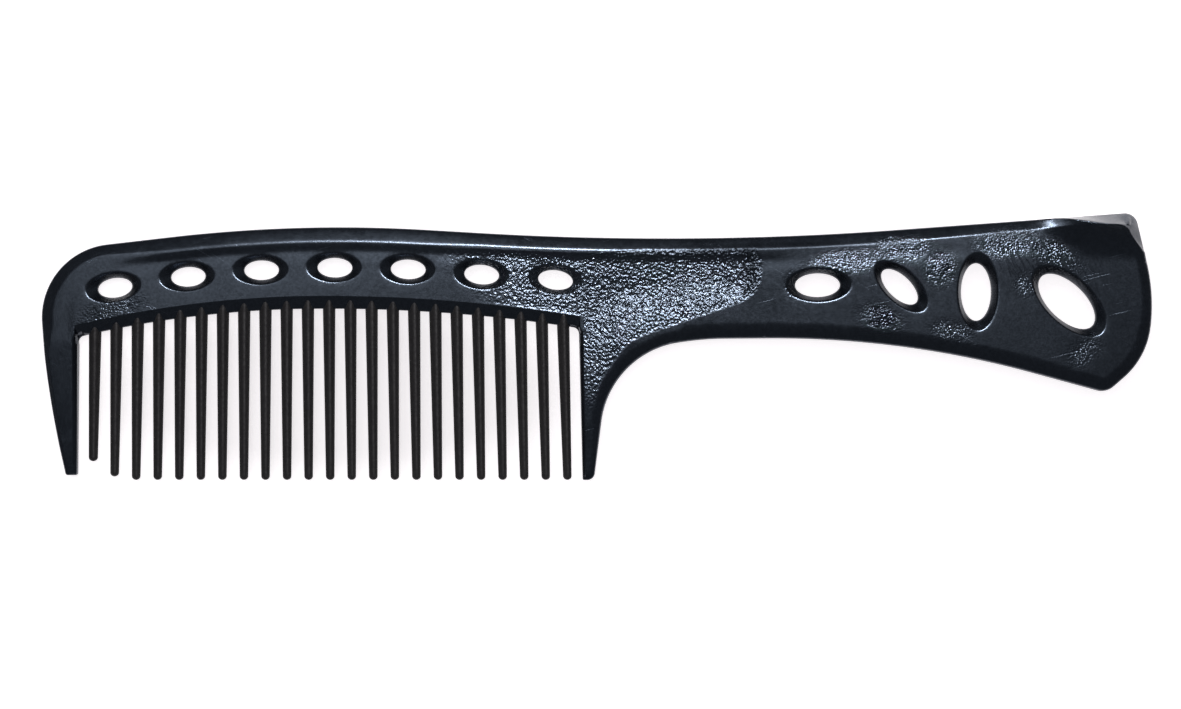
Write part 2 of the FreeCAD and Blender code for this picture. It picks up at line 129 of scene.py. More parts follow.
class Chain:
    """Straight sides joined by tangent arcs. Clockwise round a shape, the inside is on its right."""

    def __init__(self, corners, closed):
        points = [np.array(corner[:2], float) for corner in corners]
        count = len(points)
        joints = []
        for index, corner in enumerate(corners):
            here = points[index]
            radius = corner[2]
            if radius <= 0 or (not closed and index in (0, count - 1)):
                joints.append((here, here, None))
                continue
            joints.append(self.round_corner(points[index - 1], here, points[(index + 1) % count], radius))
        self.parts = []
        for index in range(count):
            soft = np.array(corners[index][3:5], float)
            following = (index + 1) % count
            if joints[index][2] is not None:
                self.parts.append(("arc", joints[index][2], soft, soft))
            if following == 0 and not closed:
                continue
            next_soft = np.array(corners[following][3:5], float)
            self.parts.append(("line", (joints[index][1], joints[following][0]), soft, next_soft))

    @staticmethod
    def round_corner(before, here, after, radius):
        """Start and end of the arc at a corner, and its centre, radius, first angle and sweep."""
        way_in = (before - here) / np.linalg.norm(before - here)
        way_out = (after - here) / np.linalg.norm(after - here)
        half = math.acos(np.clip(way_in @ way_out, -1, 1)) / 2
        start = here + way_in * radius / math.tan(half)
        end = here + way_out * radius / math.tan(half)
        inward = (way_in + way_out) / np.linalg.norm(way_in + way_out)
        centre = here + inward * radius / math.sin(half)
        first = math.atan2(*(start - centre)[::-1])
        last = math.atan2(*(end - centre)[::-1])
        sweep = (last - first + math.pi) % (2 * math.pi) - math.pi
        return start, end, (centre, radius, first, sweep)

    def nearest(self, xy):
        """Distance to the chain, whether each point is on its right, and the rounding there."""
        best = np.full(len(xy), np.inf)
        right = np.zeros(len(xy), bool)
        soft = np.zeros((len(xy), 2))
        for kind, shape, soft_start, soft_end in self.parts:
            if kind == "line":
                start, end = shape
                way = end - start
                length = max(np.linalg.norm(way), 1e-9)
                way = way / length
                offset = xy - start
                along = np.clip(offset @ way, 0, length)
                gap = np.linalg.norm(offset - along[:, None] * way, axis=1)
                side = way[0] * offset[:, 1] - way[1] * offset[:, 0] < 0
                share = (along / length)[:, None]
                blend = soft_start * (1 - share) + soft_end * share
            else:
                centre, radius, first, sweep = shape
                offset = xy - centre
                reach = np.linalg.norm(offset, axis=1)
                angle = np.arctan2(offset[:, 1], offset[:, 0])
                turned = ((angle - first) * np.sign(sweep)) % (2 * math.pi)
                gap = np.where(turned <= abs(sweep), abs(reach - radius), np.inf)
                side = reach < radius if sweep < 0 else reach > radius
                blend = np.broadcast_to(soft_start, (len(xy), 2))
            closer = gap < best
            best = np.where(closer, gap, best)
            right = np.where(closer, side, right)
            soft = np.where(closer[:, None], blend, soft)
        return best, right, soft

    def sample(self, step, widest_turn=0.2):
        """Points along the chain with the direction to its right, and the rounding at each."""
        points, inward, softs = [], [], []
        for kind, shape, soft_start, soft_end in self.parts:
            if kind == "line":
                start, end = shape
                way = end - start
                length = np.linalg.norm(way)
                if length < 1e-6:
                    continue
                count = max(1, math.ceil(length / step))
                for index in range(count):
                    share = index / count
                    points.append(start + way * share)
                    inward.append(np.array([way[1], -way[0]]) / length)
                    softs.append(soft_start * (1 - share) + soft_end * share)
            else:
                centre, radius, first, sweep = shape
                count = max(2, math.ceil(abs(sweep) * radius / step), math.ceil(abs(sweep) / widest_turn))
                for index in range(count):
                    angle = first + sweep * index / count
                    spoke = np.array([math.cos(angle), math.sin(angle)])
                    points.append(centre + radius * spoke)
                    inward.append(-spoke if sweep < 0 else spoke)
                    softs.append(soft_start)
        return np.array(points), np.array(inward), np.array(softs)


plate_edge = Chain(list(OUTLINE.values()), closed=True)
crown_edge = Chain([OUTLINE[name] for name in ("guard", "nose", "crown", "valley", "lip")], closed=False)
dish_edge = Chain([corner + (0, 0) for corner in DISH_BORDER.values()], closed=False)


def bevel_top(x):
    """Height of the crisp upper edge of the root bevel, two arcs that meet at the crest."""
    radius = np.where(x < CREST_X, OUTLINE["gap_left"][2], OUTLINE["gap_right"][2])
    return CREST_Y + ROOT_BEVEL - radius + np.sqrt(radius ** 2 - (x - CREST_X) ** 2)


# ---- the height field --------------------------------------------------------


def smooth(low, high, value):
    """0 below the low value, 1 above the high one, and an S-curve between."""
    share = np.clip((value - low) / (high - low), 0, 1)
    return share * share * (3 - 2 * share)


def dome(share):
    """Rises from 0 with a steep start to a level 1, like a quarter of an ellipse."""
    return np.sqrt(1 - (1 - np.clip(share, 0, 1)) ** 2)


def edge_profile(share):
    """0 at the outline: a small rounding, then a slope up to a crisp shoulder at share 1."""
    slope = 0.2 * dome(share / 0.2) + 0.8 * share
    return np.clip(0.5 * (slope + 1 - np.sqrt((slope - 1) ** 2 + 0.008)), 0, 1)


def flare_share(x, y, hole):
    """0 on the hole's waist and 1 on the rim of its mouth, growing outwards."""
    middle_x, middle_y, long_half, short_half, turn = hole
    turn = math.radians(turn)
    along = (x - middle_x) * math.cos(turn) + (y - middle_y) * math.sin(turn)
    across = -(x - middle_x) * math.sin(turn) + (y - middle_y) * math.cos(turn)
    low = np.full(len(x), -0.9)
    high = np.full(len(x), 3.0)
    for _ in range(20):
        middle = (low + high) / 2
        inside = (along / (long_half + FLARE_LONG * middle)) ** 2 \
            + (across / (short_half + FLARE_SHORT * middle)) ** 2 < 1
        high = np.where(inside, middle, high)
        low = np.where(inside, low, middle)
    return (low + high) / 2


def hole_share(x, y):
    """The smallest flare share over all the holes."""
    share = np.full(len(x), 3.0)
    for hole in HOLES.values():
        near = np.hypot(x - hole[0], y - hole[1]) < hole[2] + 3 * FLARE_LONG
        if near.any():
            share[near] = np.minimum(share[near], flare_share(x[near], y[near], hole))
    return share


def dish_reach(xy):
    """How far inside the border of the dish a point lies; negative outside."""
    gap, right, _ = dish_edge.nearest(xy)
    return np.where(right, gap, -gap)


def coarse_mask(x, y, crown, reach):
    """Where the leather-like grain is: the dish, the heel and round the last spine holes."""
    mask = smooth(-0.7, 0.2, reach) * smooth(0.0, 1.0, crown - 3.1 + 1.1 * smooth(0, 8, x))
    fade = smooth(-30.0, -12.0, x + 0.9 * (y - 12.0))
    heel = smooth(-2.9, -2.3, x) + smooth(0.1, 0.6, y - bevel_top(x)) * (x < -2.3)
    return mask * fade * np.clip(heel, 0, 1)


def pebbles(x, y):
    """Leather-like relief between about -0.5 and 0.5: rounded grains with grooves between."""
    noise.seed_set(PEBBLE_SEED)  # without it, noise_vector is seeded from the clock
    relief = np.zeros(len(x))
    for index in range(len(x)):
        spot = Vector((x[index], y[index], 0.0)) / PEBBLE_WIDE
        wobble = noise.noise_vector(spot * 0.7) * 0.5
        nearest = noise.voronoi(spot + wobble)[0][0]
        relief[index] = 0.5 - min(nearest, 1.0) ** 1.5 + 0.3 * noise.noise(spot * 1.9)
    return relief


def lip_rise(x, y):
    """How much the lip stands above the handle, out of a hollow that curves round its corner."""
    start = 16.9 + 6.5 * (1 - smooth(86.5, 100.0, x))
    climb = np.clip((y - start) / (25.0 - start), 0, 1.2)
    return (LIP_HALF + 0.6 - HALF) * smooth(87.5, 104.5, x) * climb ** 2.3


def beside_end(x, y):
    """Distance inside the straight upper stretch of the handle's end."""
    return 0.978 * (109.05 - x) + 0.207 * (27.15 - y)


def facet_widths(x, y):
    """How far the lip's outer facet reaches in from the top, in an S-curve, and from the end."""
    top = FACET_WIDE * smooth(90.8, 104.8, x) * (1 - 0.15 * smooth(104.8, 109.0, x))
    end = FACET_END * smooth(17.5, 24.5, y)
    return np.maximum(top, 0.05), np.maximum(end, 0.05)


def facet_share(x, y, gap, crown):
    """0 at the outline and 1 at the rim of the facet, which is rounded at the corner."""
    top, end = facet_widths(x, y)
    beside = beside_end(x, y)
    plain = gap / (top + (end - top) * smooth(-1, 1, crown - beside))
    curved = 1.8 - np.hypot(np.maximum(1.8 - crown / top, 0), np.maximum(1.8 - beside / end, 0))
    return np.maximum(plain + (curved - plain) * smooth(0, 1, plain), 0.7 * plain)


def face_height(x, crown):
    """The front face without its dish, lip, holes and rounded edges."""
    # a bead along the spine stands above the panel with the holes
    bead = BEAD_HIGH * smooth(-101, -84, x) * (1 - 0.5 * smooth(-14, 2, x)) * (1 - smooth(34, 44, x))
    height = HALF - bead * smooth(3.0, 4.9, crown) + PANEL_RISE * smooth(5.0, 7.5, crown)
    # the handle's face falls away a little towards its upper edge
    handle = smooth(37, 48, x) * (1 - smooth(84, 96, x))
    return height - HANDLE_FALL * (1 - smooth(2.6, 9.0, crown)) * handle


def dish_depth(x, y, crown, reach):
    """Depth of the thumb dish: steep just inside its right end, gentle below and under the bead."""
    right_wall = 0.6 * smooth(0.3, 2.0, reach) + 0.4 * smooth(0.3, 5.0, reach)
    low_wall = smooth(0.0, 1.05, reach / (1.8 + 8.0 * (1 - smooth(19, 32, x))))
    top_wall = 0.35 * smooth(2.9, 5.2, crown) + 0.65 * smooth(2.9, 12.0, crown)
    fade = smooth(-20, 6, x) * smooth(-15, -3, y)
    return DISH_DEEP * np.minimum(right_wall, low_wall) * top_wall * fade


def guard_thinning(x, y):
    """How much thinner the guards become towards their tips."""
    return GUARD_TAPER * np.clip((GUARD_CUT_Y - y) / GUARD_LONG, 0, 1) * (x < HEEL_END_X)


def sink_holes(height, share):
    """Lower the face into the flared mouths of the holes."""
    cone = 0.5 * ((1 - share) + np.sqrt((1 - share) ** 2 + 0.012))
    return height - (height - WAIST_HALF) * np.clip(cone, 0, 1)


def bevel_roots(height, x, y):
    """Cut the bevel between the roots of the teeth, with steep sides and an end over the guards."""
    in_comb = (x > POCKET_LEFT) & (x < POCKET_RIGHT) & (y < bevel_top(x)) & (y > 0.0)
    rise = 1 - (bevel_top(x) - y) / ROOT_BEVEL
    side = np.maximum(WALL_LEFT - x, x - WALL_RIGHT) / POCKET_WALL
    ramp = np.clip(np.maximum(np.maximum(rise, side), 1 - smooth(0.2, 2.2, y)), 0, 1)
    return np.where(in_comb, np.minimum(height, WEB_HALF + (height - WEB_HALF) * ramp), height)


def coarse_relief(x, y, mask):
    """Relief of the leather-like grain, as strong as the mask says."""
    rough = mask > 0.01
    relief = np.zeros(len(x))
    relief[rough] = pebbles(x[rough], y[rough])
    return PEBBLE_HIGH * mask * relief


def round_edges(height, x, y, gap, crown, soft):
    """Round the face off along the outline, with a crisp shoulder along the spine and the pocket."""
    share = gap / np.maximum(soft[:, 0], 1e-6)
    flank = (y < 3.0) & (np.minimum(abs(x - FLANK_LEFT), abs(x - POCKET_RIGHT)) < 1.2)
    crisp = np.maximum(1 - smooth(3.2, 4.5, crown), flank)
    height = height - soft[:, 1] * (1 - dome(share) + crisp * (dome(share) - edge_profile(share)))
    return np.maximum(height, LEAST_HALF)


def cut_facet(height, lip_top, x, y, gap, crown):
    """Cut the lip to its outer facet, and leave the rest of the plate as it is."""
    lip_zone = smooth(88, 92, x) * smooth(16.5, 19.5, y)
    facet = EDGE_HALF + (lip_top - EDGE_HALF) * facet_share(x, y, gap, crown)
    return np.minimum(height, facet + 8.0 * (1 - lip_zone))


def half_thickness(x, y, at_edge, at_hole):
    """Height of the front face above the middle of the plate."""
    xy = np.column_stack((x, y))
    gap, _, soft = plate_edge.nearest(xy)
    gap = np.where(at_edge, 0.0, gap)
    crown = crown_edge.nearest(xy)[0]
    reach = dish_reach(xy)
    share = np.where(at_hole, 0.0, hole_share(x, y))
    plain = face_height(x, crown) - dish_depth(x, y, crown, reach) - guard_thinning(x, y)
    lip_top = np.minimum(plain + lip_rise(x, y), LIP_HALF)
    height = bevel_roots(sink_holes(lip_top, share), x, y)
    mask = coarse_mask(x, y, crown, reach) * smooth(1.0, 1.25, share)
    height = round_edges(height + coarse_relief(x, y, mask), x, y, gap, crown, soft)
    return cut_facet(height, lip_top, x, y, gap, crown)


# ---- points of the plate's mesh ----------------------------------------------


class Cloud:
    """Points for the triangulation: each new set keeps clear of those before it."""

    def __init__(self):
        self.points = np.zeros((0, 2))
        self.edges = []

    def add(self, xy, clear=0.0):
        """Add the points that are at least this far from every earlier set."""
        xy = np.asarray(xy, float).reshape(-1, 2)
        clear = np.broadcast_to(clear, len(xy))
        if len(self.points) and clear.max() > 0:
            tree = kdtree.KDTree(len(self.points))
            for index, (x, y) in enumerate(self.points):
                tree.insert((x, y, 0), index)
            tree.balance()
            gaps = np.array([tree.find((x, y, 0))[2] for x, y in xy])
            xy = xy[gaps > clear]
        first = len(self.points)
        self.points = np.vstack((self.points, xy))
        return first

    def loop(self, xy, closed=True):
        """Add points joined by edges that the triangulation keeps."""
        first = self.add(xy)
        count = len(xy)
        self.edges += [(first + index, first + index + 1) for index in range(count - 1)]
        if closed:
            self.edges.append((first + count - 1, first))


def inside_plate(xy, margin=0.0):
    """Whether each point is on the plate, this far from its outline and clear of the holes."""
    gap, right, _ = plate_edge.nearest(xy)
    return right & (gap > margin) & (hole_share(xy[:, 0], xy[:, 1]) > 0.0)


def hole_ring(hole, share, step=0.3):
    """Points round a hole at a share of its flare, closer together round the tight ends."""
    middle_x, middle_y, long_half, short_half, turn = hole
    long_half = long_half + FLARE_LONG * share
    short_half = short_half + FLARE_SHORT * share
    count = int(math.pi * (long_half + short_half) / step)
    angle = np.arange(count) * 2 * math.pi / count
    angle = angle - 0.22 * np.sin(2 * angle)
    turn = math.radians(turn)
    along, across = long_half * np.cos(angle), short_half * np.sin(angle)
    return np.column_stack((middle_x + along * math.cos(turn) - across * math.sin(turn),
                            middle_y + along * math.sin(turn) + across * math.cos(turn)))


def hex_grid(low_x, high_x, low_y, high_y, pitch):
    """Points in staggered rows over a rectangle."""
    rise = pitch * 0.866
    rows = []
    for row in range(int((high_y - low_y) / rise) + 1):
        x = np.arange(low_x + (row % 2) * pitch / 2, high_x, pitch)
        rows.append(np.column_stack((x, np.full(len(x), low_y + row * rise))))
    return np.vstack(rows)


EDGE_STEP = 0.45         # distance between points along the outline and the cuts
CUT_LINES = [
    ((-118.0, GUARD_CUT_Y), (-104.9, GUARD_CUT_Y)),
    ((-3.9, GUARD_CUT_Y), (18.5, GUARD_CUT_Y)),
    ((NECK_CUT_X, GUARD_CUT_Y), (NECK_CUT_X, 28.0)),
    ((HANDLE_CUT_X, -4.0), (HANDLE_CUT_X, 28.0)),
    ((LIP_CUT_X, LIP_CUT_Y), (LIP_CUT_X, 30.0)),
    ((LIP_CUT_X, LIP_CUT_Y), (118.0, LIP_CUT_Y)),
]


def node_of(x, y):
    """The CAD node that each point of the plate belongs to."""
    names = np.full(len(x), "handle", dtype=object)
    names[(x > LIP_CUT_X) & (y > LIP_CUT_Y)] = "handle_lip"
    names[x < HANDLE_CUT_X] = "thumb_rest"
    names[x < NECK_CUT_X] = "comb_back"
    names[(y < GUARD_CUT_Y) & (x < HEEL_END_X)] = "heel_guard"
    names[(y < GUARD_CUT_Y) & (x < FRONT_END_X)] = "front_guard"
    return names


def add_outlines(cloud, rim):
    """The plate's outline, the waists of its holes and the cuts between its nodes."""
    cloud.loop(rim)
    for hole in HOLES.values():
        cloud.loop(hole_ring(hole, 0.0))
    for start, end in CUT_LINES:
        start, end = np.array(start), np.array(end)
        count = int(np.linalg.norm(end - start) / EDGE_STEP)
        line = start + (end - start) * (np.arange(count + 1) / count)[:, None]
        keep = inside_plate(line, 0.25)
        keep[[0, -1]] = True
        cloud.loop(line[keep], closed=False)


def add_edge_rows(cloud, rim, inward, soft):
    """Rows that follow the rounding of the edges."""
    for share in (0.03, 0.09, 0.2, 0.45, 0.75, 0.88, 0.94, 1.0, 1.06, 1.12, 1.25):
        offset = share * soft[:, 0]
        ring = rim + inward * offset[:, None]
        gap, right, _ = plate_edge.nearest(ring)
        keep = right & (gap > 0.995 * offset) & (offset > 0.02)
        cloud.add(ring[keep], 0.9 * np.minimum(offset, 0.05 * soft[:, 0])[keep])


def add_hole_rings(cloud):
    """Rings round the flared holes."""
    for hole in HOLES.values():
        for share in (0.2, 0.4, 0.6, 0.78, 0.88, 0.95, 1.0, 1.05, 1.12, 1.22, 1.4):
            ring = hole_ring(hole, share)
            cloud.add(ring[inside_plate(ring, 0.1)], 0.04)


def add_bevel_rows(cloud):
    """Rows along the crisp edge of the root bevel, and columns at the sides of the pocket."""
    x = np.arange(-105.4, -3.4, 0.3)
    for drop in (0.0, 0.08, -0.08, 0.22, -0.22, 0.6, -0.5, 1.2, 1.8):
        row = np.column_stack((x, bevel_top(x) - drop))
        cloud.add(row[inside_plate(row, 0.12)], 0.1 if abs(drop) > 0.3 else 0.05)
    for x in (WALL_LEFT, WALL_LEFT - POCKET_WALL, WALL_RIGHT, WALL_RIGHT + POCKET_WALL):
        column = np.column_stack((np.full(30, x), np.linspace(1.5, 7.0, 30)))
        cloud.add(column[inside_plate(column, 0.1)], 0.08)


def add_lip_rows(cloud, rim, inward):
    """Rows along the rim of the lip's facet."""
    lip = (rim[:, 0] > 87) & (rim[:, 1] > 16)
    rim, inward = rim[lip], inward[lip]
    top, end = facet_widths(*rim.T)
    offset = np.where(beside_end(*rim.T) < crown_edge.nearest(rim)[0], end, top)
    for share in (0.35, 0.65, 0.85, 0.94, 1.0, 1.06, 1.15, 1.3):
        row = rim + inward * (offset * share)[:, None]
        cloud.add(row[inside_plate(row, 0.1)], 0.06)


def add_dish_rows(cloud):
    """Rows along the border of the dish and along the bead."""
    border, side, _ = dish_edge.sample(0.3)
    for offset in (0.0, 0.12, -0.12, 0.3, -0.3, 0.6):
        row = border + side * offset
        cloud.add(row[inside_plate(row, 2.0)], 0.09)
    rail, down, _ = crown_edge.sample(0.5)
    for offset in np.arange(2.4, 6.2, 0.4):
        row = rail + down * offset
        keep = inside_plate(row, 1.9) & (row[:, 0] > -103) & (row[:, 0] < 46)
        cloud.add(row[keep], 0.22)


def add_grain(cloud):
    """The fine field that the coarse grain needs."""
    fine = hex_grid(-31, 36, -17, 20, 0.15)
    crown = crown_edge.nearest(fine)[0]
    keep = inside_plate(fine, 0.4)
    keep &= coarse_mask(fine[:, 0], fine[:, 1], crown, dish_reach(fine)) > 0.02
    keep &= hole_share(fine[:, 0], fine[:, 1]) > 1.0
    cloud.add(fine[keep], 0.1)


def add_fields(cloud):
    """Fields over the lip's corner, the two corners of the pocket, the lip and the whole plate."""
    fields = [(104, 113, 20, 28, 0.2, 0.3, 0.12)]
    for middle in (-105.3, -3.9):
        fields.append((middle - 1.6, middle + 1.6, 0.2, 5.5, 0.16, 0.2, 0.1))
    fields.append((86, 113, 16, 28, 0.4, 0.5, 0.25))
    fields.append((-114, 114, -28, 28, 0.8, 0.4, 0.45))
    for low_x, high_x, low_y, high_y, pitch, margin, clear in fields:
        field = hex_grid(low_x, high_x, low_y, high_y, pitch)
        cloud.add(field[inside_plate(field, margin)], clear)


def gather_points():
    """All the points of the plate's plan. Each set keeps clear of those before it."""
    cloud = Cloud()
    rim, inward, soft = plate_edge.sample(EDGE_STEP)
    add_outlines(cloud, rim)
    add_edge_rows(cloud, rim, inward, soft)
    add_hole_rings(cloud)
    add_bevel_rows(cloud)
    add_lip_rows(cloud, rim, inward)
    add_dish_rows(cloud)
    add_grain(cloud)
    add_fields(cloud)
    return cloud


# ---- the plate as a solid, shared out between its nodes ----------------------

PARTING_HALF = 0.12      # the mould's parting line stands out from the side walls
PARTING_PROUD = 0.045


def triangulate(cloud):
    """Points and anticlockwise triangles over the inside of the plate."""
    spots = [Vector(point) for point in cloud.points]
    verts, _, faces, *_ = delaunay_2d_cdt(spots, cloud.edges, [], 0, 1e-6)
    xy = np.array(verts)
    faces = np.array(faces)
    faces = faces[inside_plate(xy[faces].mean(axis=1))]
    first, second, third = (xy[faces[:, corner]] for corner in range(3))
    area = np.cross(second - first, third - first)
    faces[area < 0] = faces[area < 0][:, ::-1]
    used, faces = np.unique(faces, return_inverse=True)
    return xy[used], faces.reshape(-1, 3)


def split_edges(faces, owner):
    """Edges with one triangle, and edges between two nodes, each with its triangle on its left."""
    edges = np.vstack((faces[:, [0, 1]], faces[:, [1, 2]], faces[:, [2, 0]]))
    owners = np.tile(owner, 3)
    key = edges.min(axis=1) * (faces.max() + 1) + edges.max(axis=1)
    order = np.argsort(key, kind="stable")
    key, edges, owners = key[order], edges[order], owners[order]
    same = key[1:] == key[:-1]
    alone = ~(np.append(same, False) | np.insert(same, 0, False))
    twin = np.flatnonzero(same)
    seam = twin[owners[twin] != owners[twin + 1]]
    return edges[alone], owners[alone], edges[np.append(seam, seam + 1)], owners[np.append(seam, seam + 1)]


class Plate:
    """Front, back and side walls of the whole plate, with normals that run on across the seams."""

    def __init__(self):
        xy, self.front = triangulate(gather_points())
        self.count = len(xy)
        self.owner = node_of(*xy[self.front].mean(axis=1).T)
        rim, self.rim_owner, self.seam, self.seam_owner = split_edges(self.front, self.owner)
        ends = np.unique(rim)
        self.place = np.full(self.count, -1)
        self.place[ends] = np.arange(len(ends))
        self.rim_count = len(ends)
        self.verts = np.vstack(self.levels(xy, rim, ends))
        self.back = self.front[:, ::-1] + self.count
        self.walls = [self.band(rim, step) for step in range(4)]
        self.normals = self.vertex_normals()
        self.marks = self.surface_marks(xy)

    def levels(self, xy, rim, ends):
        """Points of the front face, the back face and the three levels of the parting line."""
        at_hole = np.zeros(self.count, bool)
        at_hole[ends] = hole_share(*xy[ends].T) < 0.1
        at_edge = np.zeros(self.count, bool)
        at_edge[ends] = ~at_hole[ends]
        height = half_thickness(xy[:, 0], xy[:, 1], at_edge, at_hole)
        out = self.outward(xy, rim)
        rows = [np.column_stack((xy, height)), np.column_stack((xy, -height))]
        for level, proud in ((PARTING_HALF, 0), (0.0, PARTING_PROUD), (-PARTING_HALF, 0)):
            rows.append(np.column_stack((xy[ends] + proud * out[ends], np.full(len(ends), level))))
        return rows

    def surface_marks(self, xy):
        """What the material reads at each point: coarse grain, rounded edges and flared mouths."""
        crown = crown_edge.nearest(xy)[0]
        coarse = coarse_mask(xy[:, 0], xy[:, 1], crown, dish_reach(xy))
        gap, _, soft = plate_edge.nearest(xy)
        rounded = 1 - np.clip(gap / np.maximum(soft[:, 0], 0.3), 0, 1)
        flare = 1 - smooth(0.9, 1.1, hole_share(xy[:, 0], xy[:, 1]))
        walls = np.zeros(3 * self.rim_count)
        return {"coarse": np.concatenate((coarse, coarse, walls)),
                "rounded": np.concatenate((rounded, rounded, walls + 1)),
                "flare": np.concatenate((flare, flare, walls))}

    def outward(self, xy, rim):
        """Direction away from the plate at each point of its rim."""
        way = xy[rim[:, 1]] - xy[rim[:, 0]]
        right = np.column_stack((way[:, 1], -way[:, 0]))
        out = np.zeros_like(xy)
        np.add.at(out, rim[:, 0], right)
        np.add.at(out, rim[:, 1], right)
        return out / np.maximum(np.linalg.norm(out, axis=1), 1e-9)[:, None]

    def column(self, index):
        """The points over one point of the plan, from the back face to the front."""
        middle = []
        if self.place[index] >= 0:
            middle = [2 * self.count + row * self.rim_count + self.place[index] for row in (2, 1, 0)]
        return [self.count + index] + middle + [index]

    def level(self, index, step):
        """Points at one level of the walls, from 0 at the back face to 4 at the front."""
        if step == 0:
            return self.count + index
        if step == 4:
            return index
        return 2 * self.count + (3 - step) * self.rim_count + self.place[index]

    def band(self, rim, step):
        """One row of the side walls, above one of their levels."""
        start, end = rim[:, 0], rim[:, 1]
        return np.column_stack((self.level(start, step), self.level(end, step),
                                self.level(end, step + 1), self.level(start, step + 1)))

    def vertex_normals(self):
        """Normals of the whole plate, weighted by the area of the triangles round each point."""
        walls = np.vstack(self.walls)
        triangles = np.vstack((self.front, self.back, walls[:, [0, 1, 2]], walls[:, [0, 2, 3]]))
        first, second, third = (self.verts[triangles[:, corner]] for corner in range(3))
        facing = np.cross(second - first, third - first)
        normals = np.zeros_like(self.verts)
        for corner in range(3):
            np.add.at(normals, triangles[:, corner], facing)
        return normals / np.maximum(np.linalg.norm(normals, axis=1), 1e-12)[:, None]

    def cap_normal(self, face):
        """Normal of a flat cap, from three of its corners."""
        corners = self.verts[[face[0], face[-1], face[len(face) // 2]]]
        facing = np.cross(corners[1] - corners[0], corners[2] - corners[0])
        return (-facing / np.linalg.norm(facing)).tolist()

    def piece(self, name, material):
        """One node's share as a closed mesh: its skin, and a flat cap where it was cut."""
        skin = self.front[self.owner == name].tolist() + self.back[self.owner == name].tolist()
        for band in self.walls:
            skin += band[self.rim_owner == name].tolist()
        caps = [self.column(end) + self.column(start)[::-1]
                for start, end in self.seam[self.seam_owner == name]]
        normals = [normal for face in skin for normal in self.normals[face].tolist()]
        normals += [normal for face in caps for normal in [self.cap_normal(face)] * len(face)]
        faces = skin + caps
        used = np.unique(np.hstack(faces))
        lookup = np.full(len(self.verts), -1)
        lookup[used] = np.arange(len(used))
        mesh = bpy.data.meshes.new(name + "_skin")
        mesh.from_pydata((self.verts[used] * MM).tolist(), [], [lookup[face].tolist() for face in faces])
        for mark, values in self.marks.items():
            layer = mesh.attributes.new(mark, "FLOAT", "POINT")
            layer.data.foreach_set("value", values[used].astype(np.float32))
        mesh.normals_split_custom_set(normals)
        return finish_piece(name, mesh, material)


def finish_piece(node, mesh, material):
    """Put a mesh into the scene as the piece that stands for a CAD node."""
    mesh.materials.append(material)
    piece = bpy.data.objects.new(node + "_visual", mesh)
    bpy.context.scene.collection.objects.link(piece)
    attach(piece, "root")
    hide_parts(node)
    return piece


# ---- teeth -------------------------------------------------------------------

TOOTH_COUNT = 23
TOOTH_TOP = (-101.87, 4.324, 1.2)     # x of tooth 1, pitch, and the y where they hold
TOOTH_LOW = (-102.25, 4.373, -24.2)
TOOTH_END_Y = -27.1
SHORT_ENDS = {1: -23.3, 2: -26.4}
TOOTH_HEAD = (1.30, 1.96, 0.26, 0.50)  # half width, half thickness, half crest and side at the roots
TOOTH_TIP = (0.86, 1.0, 0.20, 0.34)
TIP_LONG = 0.8                         # length of a tooth's rounded end
BODY_ROWS, TIP_ROWS = 44, 10           # rings of points along a tooth and over its end


def cut_corners(ring):
    """Each corner becomes two points, a quarter of the way along its sides."""
    ahead = np.roll(ring, -1, axis=0)
    return np.stack((0.75 * ring + 0.25 * ahead, 0.25 * ring + 0.75 * ahead), axis=1).reshape(-1, 2)


def tooth_ring(wide, thick, crest, side):
    """Rounded hexagon across a tooth, anticlockwise from +X with Z up."""
    right = np.array([(wide, -side), (wide, side), (crest, thick)])
    ring = np.vstack((right, -right))
    return cut_corners(cut_corners(cut_corners(ring)))


def tooth_rings(number):
    """Rings of points down a tooth, which tapers, leans a little and ends in a dome."""
    end_y = SHORT_ENDS.get(number, TOOTH_END_Y)
    top_x = TOOTH_TOP[0] + TOOTH_TOP[1] * (number - 1)
    low_x = TOOTH_LOW[0] + TOOTH_LOW[1] * (number - 1)
    head_y = float(bevel_top(np.array([top_x]))[0]) + 0.35
    body = np.linspace(head_y, end_y + TIP_LONG, BODY_ROWS)
    tip = end_y + TIP_LONG * (1 - np.sin(np.linspace(0, math.pi / 2, TIP_ROWS + 2)[1:-1]))
    rings = []
    for y in np.append(body, tip):
        share = (head_y - y) / (head_y - TOOTH_END_Y)
        sizes = np.array(TOOTH_HEAD) * (1 - share) + np.array(TOOTH_TIP) * share
        ring = tooth_ring(*sizes) * dome((y - end_y) / TIP_LONG)
        middle = top_x + (low_x - top_x) * (TOOTH_TOP[2] - y) / (TOOTH_TOP[2] - TOOTH_LOW[2])
        rings.append(np.column_stack((middle + ring[:, 0], np.full(len(ring), y), ring[:, 1])))
    rings.append([[rings[-1][:, 0].mean(), end_y, 0.0]])
    return rings


def tooth_mesh(number):
    """A tooth as a closed mesh: a flat head, smooth sides and a fan at the end."""
    rings = tooth_rings(number)
    around = len(rings[0])
    verts = np.vstack(rings)
    faces = [list(range(around))[::-1]]
    for row in range(len(rings) - 2):
        for column in range(around):
            here = row * around + column
            beside = row * around + (column + 1) % around
            faces.append([here, beside, beside + around, here + around])
    last = (len(rings) - 2) * around
    for column in range(around):
        faces.append([last + column, last + (column + 1) % around, len(verts) - 1])
    mesh = bpy.data.meshes.new(f"tooth_{number:02d}_skin")
    mesh.from_pydata((verts * MM).tolist(), [], faces)
    mesh.polygons.foreach_set("use_smooth", [False] + [True] * (len(faces) - 1))
    return mesh


# ---- materials ---------------------------------------------------------------


